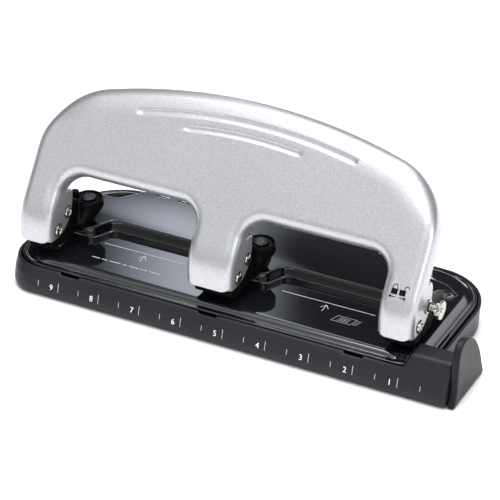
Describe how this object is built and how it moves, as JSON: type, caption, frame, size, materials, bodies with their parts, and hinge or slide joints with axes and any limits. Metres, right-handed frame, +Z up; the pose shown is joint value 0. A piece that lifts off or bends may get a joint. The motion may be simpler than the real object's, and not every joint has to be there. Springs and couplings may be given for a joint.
{
  "type": "three hole punch",
  "caption": "Desk punch with a rocking stamped handle over three punch heads, a gloss base plate, and a moulded chip tray with a ruler front and a sliding paper stop.",
  "frame": {"origin": "on the desk plane, under the middle of the whole object's box", "axes": "+X to the right along the ruler and the line of holes, +Y from the paper side to the rear hinge, +Z up"},
  "size_m": [0.2706, 0.1056, 0.1166],
  "materials": {
    "silver_paint": "satin metallic silver paint",
    "black_gloss": "gloss black enamel",
    "black_cast": "semi-gloss black paint on a die casting",
    "tray_plastic": "fine matte dark grey",
    "stop_plastic": "fine matte dark grey",
    "rubber": "matte",
    "nickel": "bright nickel plate",
    "tool_steel": "ground",
    "spring_steel": "drawn wire"
  },
  "bodies": {
    "tray": {"chip_tray": "tray_plastic", "rubber_foot_front_left": "rubber", "rubber_foot_front_right": "rubber", "rubber_foot_rear_left": "rubber", "rubber_foot_rear_right": "rubber", "tray_hinge_pin_left": "spring_steel", "tray_hinge_pin_right": "spring_steel"},
    "stop": {"paper_stop": "stop_plastic"},
    "base": {"base_plate": "black_gloss", "punch_head_left": "black_cast", "punch_head_middle": "black_cast", "punch_head_right": "black_cast", "die_left": "tool_steel", "die_middle": "tool_steel", "die_right": "tool_steel", "return_spring_left": "spring_steel", "return_spring_middle": "spring_steel", "return_spring_right": "spring_steel", "stop_button_left": "nickel", "stop_button_middle": "nickel", "head_screw_left_1": "nickel", "head_screw_left_2": "nickel", "head_screw_middle_1": "nickel", "head_screw_middle_2": "nickel", "head_screw_right_1": "nickel", "head_screw_right_2": "nickel"},
    "handle": {"handle": "silver_paint", "lock_bush": "nickel", "pivot_pin_left": "nickel", "pivot_pin_middle": "nickel", "pivot_pin_right": "nickel", "drive_pin_left": "nickel", "drive_pin_middle": "nickel", "drive_pin_right": "nickel"},
    "lock": {"lock_pin": "nickel"},
    "punch_left": {"punch_pin_left": "tool_steel", "spring_washer_left": "nickel"},
    "punch_middle": {"punch_pin_middle": "tool_steel", "spring_washer_middle": "nickel"},
    "punch_right": {"punch_pin_right": "tool_steel", "spring_washer_right": "nickel"}
  },
  "joints": [
    {"name": "tray_opening", "type": "hinge", "parent": "tray", "child": "base", "pos_m": [0, 0.0484, 0.015], "axis": [-1, 0, 0], "range_deg": [0, 45]},
    {"name": "handle_press", "type": "hinge", "parent": "base", "child": "handle", "pos_m": [0, -0.0353, 0.0348], "axis": [-1, 0, 0], "range_deg": [0, 40], "stiffness_Nm_per_rad": 0.6, "springref_deg": -20.05},
    {"name": "paper_stop_slide", "type": "slide", "parent": "tray", "child": "stop", "axis": [1, 0, 0], "range_m": [0, 0.009]},
    {"name": "lock_slide", "type": "slide", "parent": "handle", "child": "lock", "axis": [-1, 0, 0], "range_m": [0, 0.0035]},
    {"name": "punch_left_drop", "type": "slide", "parent": "base", "child": "punch_left", "axis": [0, 0, -1], "range_m": [0, 0.0084], "deforming": ["return_spring_left"]},
    {"name": "punch_middle_drop", "type": "slide", "parent": "base", "child": "punch_middle", "axis": [0, 0, -1], "range_m": [0, 0.0084], "deforming": ["return_spring_middle"]},
    {"name": "punch_right_drop", "type": "slide", "parent": "base", "child": "punch_right", "axis": [0, 0, -1], "range_m": [0, 0.0084], "deforming": ["return_spring_right"]}
  ],
  "couplings": [
    {"joint": "punch_left_drop", "follows": "handle_press", "m_per_rad": 0.011837},
    {"joint": "punch_middle_drop", "follows": "handle_press", "m_per_rad": 0.011837},
    {"joint": "punch_right_drop", "follows": "handle_press", "m_per_rad": 0.011837}
  ]
}
